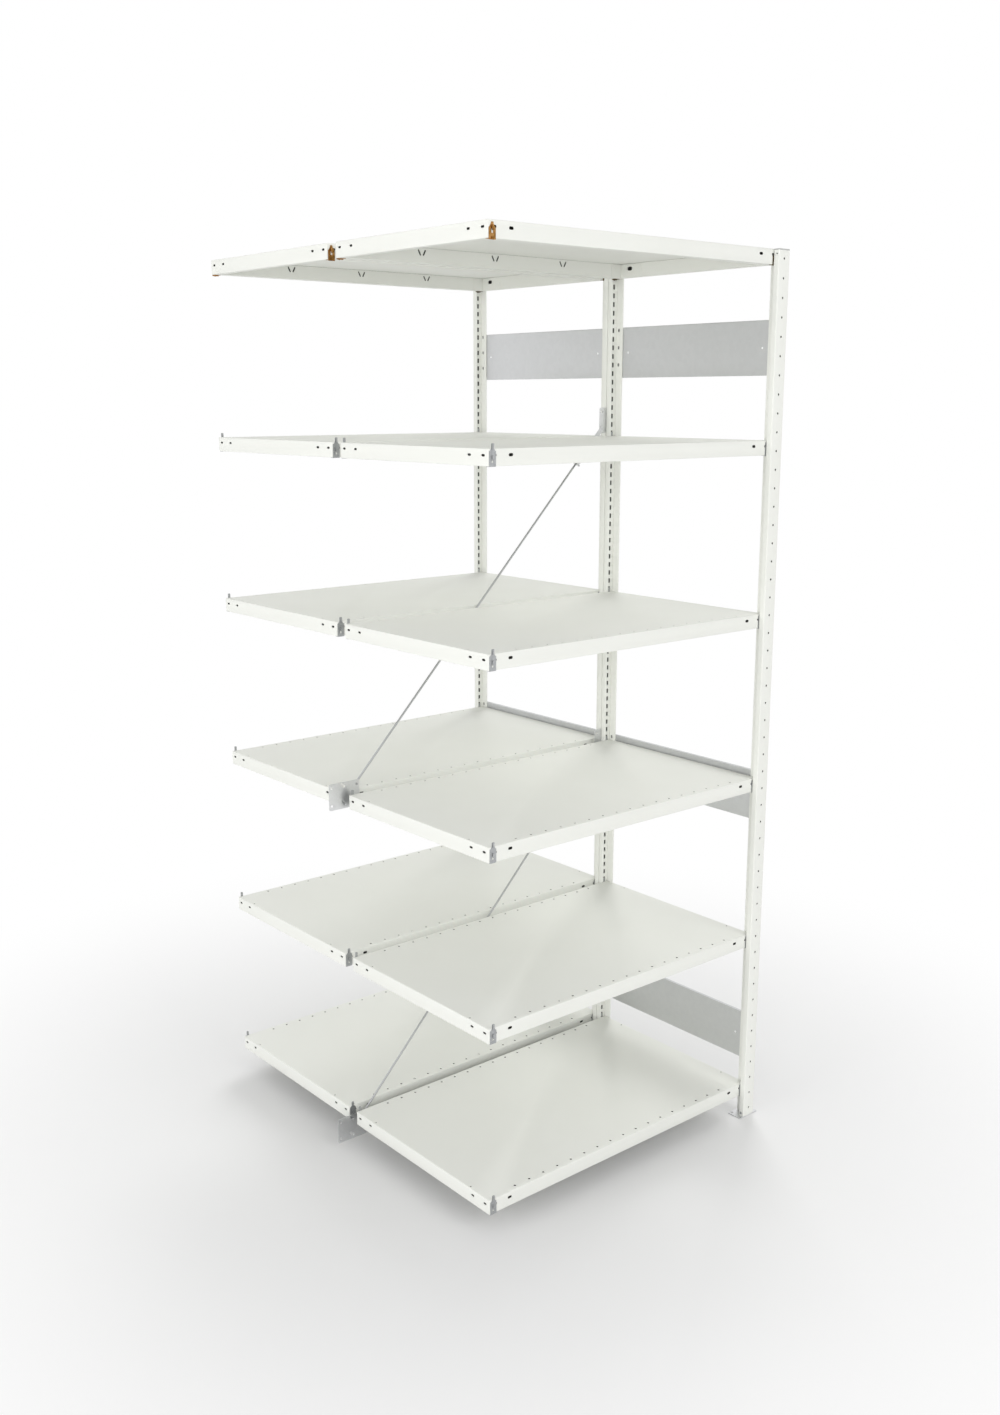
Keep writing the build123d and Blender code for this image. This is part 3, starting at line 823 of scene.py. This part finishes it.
plate = {
    "sheet": 1.5 * mm, "corner": 5 * mm, "edge": 0.25 * mm,
    "holeRadius": 3.5 * mm, "holeX": 41 * mm, "holeZ": 25 * mm,
    "keyRadius": 4.6 * mm, "keySlot": 5 * mm, "keyReach": 12 * mm, "keyZ": 25 * mm,
    "keyTurn": 45, "keyRound": 0.48,      # degrees up and to the left; a share of the slot's width
}
bayLines = {"right": lineX, "left": -lineX}


def plateMiddle(level, side):
    # on the line of uprights, which the right-hand plates pass by less
    return Vector((bayLines[side], 0, middleOf("brace_plate_%s_%s" % (level, side)).z))


def makeBracePlate(side):
    p = plate
    middle = plateMiddle("upper", side)
    low, high = (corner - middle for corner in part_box("brace_plate_upper_" + side))
    sheet = addSlot(low, high, "Y", p["corner"], segments=2)
    roundEdges(sheet, lambda a, b: not runsAlong("Y")(a, b), p["edge"], segments=1)
    through = p["sheet"]
    hole = addRound(p["holeRadius"], (0, -through, 0), (0, through, 0), corners=24)
    punch(sheet, spread(hole, [(x, 0, z) for x in (-p["holeX"], p["holeX"]) if x < high.x
                               for z in (-p["holeZ"], p["holeZ"])]))
    key = addRound(p["keyRadius"], (0, -through, 0), (0, through, 0), corners=24)
    halfSlot = p["keySlot"] / 2
    slot = addSlot((-p["keyReach"] - halfSlot, -through, -halfSlot), (0, through, halfSlot),
                   "Y", p["keySlot"] * p["keyRound"])
    slot.data.transform(Matrix.Rotation(math.radians(p["keyTurn"]), 4, "Y"))
    weld(key, slot)
    return punch(sheet, spread(key, [(0, 0, -p["keyZ"]), (0, 0, p["keyZ"])]))


for side in bayLines:
    plateMaster = makeBracePlate(side)
    for level in ("upper", "lower"):
        node = "brace_plate_%s_%s" % (level, side)
        here = Matrix.Translation(plateMiddle(level, side))
        piece = copyTo(plateMaster, "keyholed_" + node, here)
        dress(piece, "zinc_steel", "root", [node], "plate_zinc")
    bpy.data.objects.remove(plateMaster)
print("brace plates: 4")

# Brace rods, with their straps and tension nuts

brace = {
    "rodRadius": 3 * mm, "rodY": 5.75 * mm, "hookProud": 3.7 * mm, "bend": 7 * mm,
    "strapLength": 141 * mm, "strapSheet": 2 * mm, "strapHalf": 7 * mm, "strapMargin": 6 * mm,
    "strapBend": 2.5 * mm, "strapRound": (0.9, 0.75),     # shares of the margin and of the bend
    "tabCorner": 4 * mm, "tabHole": 3.3 * mm, "tongueHalf": 2.4 * mm, "tongueProud": 3.2 * mm,
    "endReach": 28 * mm, "threadLength": 46 * mm, "threadPitch": 1 * mm, "threadDepth": 0.55 * mm,
    "ridgeFoot": 0.95, "ridge": (0.42, 0.54, 0.96),       # shares of the core and of the pitch
    "threadSteps": 14,
    "nutHalf": 5 * mm, "nutHeight": 5.2 * mm, "nutClearance": 0.2 * mm, "nutChamfer": 0.8 * mm,
    "boreClearance": 0.05 * mm,
}


def diagonal(level):
    # the upper and the lower hole that one diagonal runs between
    toHole = Vector((plate["holeX"], 0, plate["holeZ"]))
    upper, lower = plateMiddle(level, "right") - toHole, plateMiddle(level, "left") + toHole
    return upper, lower


def diagonalPlace(level):
    # the diagonal's own frame: X down it from the upper hole, Y the bay's
    upper, lower = diagonal(level)
    x = (lower - upper).normalized()
    y = Vector((0, 1, 0))
    return Matrix.Translation(upper) @ Matrix((x, y, x.cross(y))).transposed().to_4x4()


def makeThread(length):
    # a ridge wound round a core, along Z from zero
    b = brace
    root, pitch = b["rodRadius"] - b["threadDepth"], b["threadPitch"]
    bpy.ops.object.select_all(action="DESELECT")
    bpy.ops.mesh.primitive_plane_add(size=1)
    ridge = bpy.context.active_object
    rise, fall, end = (pitch * share for share in b["ridge"])
    profile = [(root * b["ridgeFoot"], 0, 0), (b["rodRadius"], 0, rise), (b["rodRadius"], 0, fall),
               (root * b["ridgeFoot"], 0, end)]
    for index, spot in zip(ridge.data.polygons[0].vertices, profile):
        ridge.data.vertices[index].co = spot
    steps = b["threadSteps"]
    useModifier(ridge, "SCREW", axis="Z", steps=steps, render_steps=steps, screw_offset=pitch,
                iterations=int(length / pitch) - 1, use_merge_vertices=True, merge_threshold=tiny)
    return join(addRound(root, (0, 0, 0), (0, 0, length)), ridge)


def makeRod(span):
    b = brace
    y, bend = b["rodY"], b["bend"]
    start = b["strapLength"] - b["endReach"]
    plain = start + b["threadLength"]
    bpy.ops.object.select_all(action="DESELECT")
    bpy.ops.curve.primitive_nurbs_path_add()
    path = bpy.context.active_object
    spline = path.data.splines[0]
    route = [(plain, y, 0), (span / 2, y, 0), (span - bend, y, 0), (span, y, 0),
             (span, y - bend, 0), (span, -b["hookProud"], 0)]
    spline.points.add(len(route) - len(spline.points))
    for point, spot in zip(spline.points, route):
        point.co = (*spot, 1)
    spline.order_u = 3
    spline.use_endpoint_u = True
    spline.resolution_u = 10
    path.data.bevel_depth = b["rodRadius"]
    path.data.bevel_resolution = 4
    path.data.use_fill_caps = True
    pick(path)
    bpy.ops.object.convert(target="MESH")
    rod = bpy.context.active_object
    thread = makeThread(b["threadLength"])
    thread.data.transform(Matrix.Translation((start, y, 0)) @ Matrix.Rotation(math.pi / 2, 4, "Y"))
    return join(rod, thread)


def makeStrap():
    b = brace
    half, tabEnd = b["strapHalf"], b["strapLength"] + b["strapSheet"]
    face = -plate["sheet"] / 2
    back = face - b["strapSheet"]
    endShare, bendShare = b["strapRound"]
    flat = addSlot((-b["strapMargin"], back, -half), (tabEnd, face, half), "Y", tiny, segments=1)
    roundEdges(flat, lambda a, c: runsAlong("Y")(a, c) and a.x < 0, b["strapMargin"] * endShare,
               segments=4)
    tab = addBlock((b["strapLength"], back, -half), (tabEnd, b["rodY"] + half, half))
    top = b["rodY"] + half - tiny
    roundEdges(tab, lambda a, c: runsAlong("X")(a, c) and a.y > top, b["tabCorner"], segments=4)
    weld(flat, tab)
    corner = (tabEnd - tiny, back + tiny)
    roundEdges(flat, lambda a, c: runsAlong("Z")(a, c) and a.x > corner[0] and a.y < corner[1],
               b["strapBend"] * bendShare)
    tongue = addBlock((-b["strapSheet"] / 2, back, -b["tongueHalf"]),
                      (b["strapSheet"] / 2, -face + b["tongueProud"], b["tongueHalf"]))
    weld(flat, tongue)
    return punch(flat, addRound(b["tabHole"], (b["strapLength"] - half, b["rodY"], 0),
                                (tabEnd + half, b["rodY"], 0), corners=24))


turning = {"over": 1.001, "chamferShare": 0.55}     # the round that takes a hexagon's corners off


def makeHexagon(halfAcross, start, end, chamfer):
    # a hexagon along X, its corners taken off by a turned chamfer at both ends
    corner = halfAcross / math.cos(math.pi / 6)
    hexagon = addRound(corner, (start, 0, 0), (end, 0, 0), corners=6, turn=math.pi / 6)
    turned = addRound(corner * turning["over"], (start, 0, 0), (end, 0, 0), corners=48)
    roundEdges(turned, lambda a, b: abs(a.x - b.x) < tiny, chamfer * turning["chamferShare"],
               segments=1)
    useModifier(hexagon, "BOOLEAN", operation="INTERSECT", solver="EXACT", object=turned)
    bpy.data.objects.remove(turned)
    return hexagon


def makeNut():
    b = brace
    end = b["strapLength"] - b["nutClearance"]
    nut = makeHexagon(b["nutHalf"], end - b["nutHeight"], end, b["nutChamfer"])
    bore = addRound(b["rodRadius"] + b["boreClearance"], (end - 3 * b["nutHeight"], 0, 0),
                    (end + b["nutHeight"], 0, 0), corners=32)
    punch(nut, bore)
    nut.data.transform(Matrix.Translation((0, b["rodY"], 0)))
    return nut


upper, lower = diagonal("upper")
rodMaster, strapMaster, nutMaster = makeRod((lower - upper).length), makeStrap(), makeNut()
for level in ("upper", "lower"):
    here = diagonalPlace(level)
    dress(copyTo(rodMaster, "hooked_rod_" + level, here), "zinc_steel", "root",
          ["brace_rod_" + level])
    dress(copyTo(strapMaster, "folded_strap_" + level, here), "zinc_steel", "root",
          ["rod_strap_" + level], "plate_zinc")
    nutNode = "tension_nut_" + level
    dress(copyTo(nutMaster, "hexagon_" + nutNode, here), "zinc_steel", nutNode, [nutNode])
for master in (rodMaster, strapMaster, nutMaster):
    bpy.data.objects.remove(master)
print("brace rods, straps and tension nuts: 6")

# Bolts that join the two frames

bolt = {"radius": 2.6 * mm, "half": 4 * mm, "height": 3 * mm, "chamfer": 0.6 * mm,
        "heights": (1025 * mm, 1075 * mm, 2025 * mm, 2075 * mm)}


def makeBolt():
    b = bolt
    grip = plate["sheet"] / 2 + upright["wall"]
    head = makeHexagon(b["half"], grip, grip + b["height"], b["chamfer"])
    nut = makeHexagon(b["half"], -grip - b["height"], -grip, b["chamfer"])
    shank = addRound(b["radius"], (-grip - b["height"] / 2, 0, 0), (grip + b["height"] / 2, 0, 0))
    weld(shank, head, nut)
    shank.data.transform(Matrix.Rotation(math.pi / 2, 4, "Z"))
    return shank


boltMaster = makeBolt()
for index, height in enumerate(bolt["heights"]):
    here = Matrix.Translation((lineX, 0, height))
    piece = copyTo(boltMaster, "frame_bolt_%d" % (index + 1), here)
    dress(piece, "zinc_steel", "root", ["frame_bolts"])
bpy.data.objects.remove(boltMaster)
print("frame bolts: 4")

# Floor, light and background: a plain pale studio

studio = {
    # the floor's grey is darkened as painted shade near the unit, and fades to plain white between
    # fadeStart and fadeEnd
    "floorSize": 60, "floorDrop": 0.3 * mm, "floorColour": "#E8E8E8",
    "fadeStart": 0.45, "fadeEnd": 2.4,     # from the middle, where the floor turns plain white
    "white": 1.0, "surround": 0.60, "lampSize": 4.0, "aim": (0, 0, 1.1),
    "lamps": {     # the place and the power in watts of each
        "left": ((-8.0, 0.5, 3.2), 180),
        "frontLow": ((-6.0, -6.0, 1.6), 205),
        "frontHigh": ((1.0, -8.5, 5.4), 185),
        "back": ((6.5, 5.5, 4.4), 465),
    },
}


def seenDirectly(tree):
    # one for what the camera and glossy rays see, zero for light on the object
    seen = addNode(tree, "ShaderNodeLightPath").outputs
    either = addNode(tree, "ShaderNodeMath", {"operation": "MAXIMUM"},
                     {0: seen["Is Camera Ray"], 1: seen["Is Glossy Ray"]})
    return either.outputs["Value"]


def floorMaterial():
    # a matt floor that takes the soft shadow, and is seen as plain white far off, so it is darker
    # near the middle as painted shade
    material = bpy.data.materials.new("studioFloor")
    material.use_nodes = True
    tree = material.node_tree
    tree.nodes.clear()
    place = addNode(tree, "ShaderNodeTexCoord").outputs["Object"]
    distance = addNode(tree, "ShaderNodeVectorMath", {"operation": "LENGTH"}, {0: place})
    fade = addNode(tree, "ShaderNodeMapRange", {"interpolation_type": "SMOOTHSTEP",
                                                "From Min": studio["fadeStart"],
                                                "From Max": studio["fadeEnd"]},
                   {"Value": distance.outputs["Value"]})
    share = addNode(tree, "ShaderNodeMath", {"operation": "MULTIPLY"},
                    {0: fade.outputs["Result"], 1: seenDirectly(tree)})
    matt = addNode(tree, "ShaderNodeBsdfDiffuse", {"Color": colour(studio["floorColour"])})
    white = addNode(tree, "ShaderNodeEmission", {"Strength": studio["white"]})
    mix = addNode(tree, "ShaderNodeMixShader", {},
                  {0: share.outputs["Value"], 1: matt.outputs["BSDF"],
                   2: white.outputs["Emission"]})
    addNode(tree, "ShaderNodeOutputMaterial", {}, {"Surface": mix.outputs["Shader"]})
    return material


bpy.ops.mesh.primitive_plane_add(size=studio["floorSize"], location=(0, 0, -studio["floorDrop"]))
floor = bpy.context.active_object
floor.name = "studioFloor"
floor.data.materials.append(floorMaterial())

for name, (place, power) in studio["lamps"].items():
    bpy.ops.object.light_add(type="AREA", location=place)
    lamp = bpy.context.active_object
    lamp.name = name + "Light"
    lamp.data.size = studio["lampSize"]
    lamp.data.energy = power
    lamp.visible_glossy = False     # no lamp shows as a patch of glare on the paint
    toAim = Vector(studio["aim"]) - Vector(place)
    lamp.rotation_euler = toAim.to_track_quat("-Z", "Y").to_euler()

world = bpy.data.worlds.new("studioWorld")
bpy.context.scene.world = world
world.use_nodes = True
tree = world.node_tree
tree.nodes.clear()
soft = addNode(tree, "ShaderNodeBackground", {"Strength": studio["surround"]})
plain = addNode(tree, "ShaderNodeBackground", {"Strength": studio["white"]})
for node in (soft, plain):
    node.inputs["Color"].default_value = (1, 1, 1, 1)
mix = addNode(tree, "ShaderNodeMixShader", {},
              {0: seenDirectly(tree), 1: soft.outputs["Background"],
               2: plain.outputs["Background"]})
addNode(tree, "ShaderNodeOutputWorld", {}, {"Surface": mix.outputs["Shader"]})
bpy.context.scene.view_settings.view_transform = "Standard"
print("studio set")
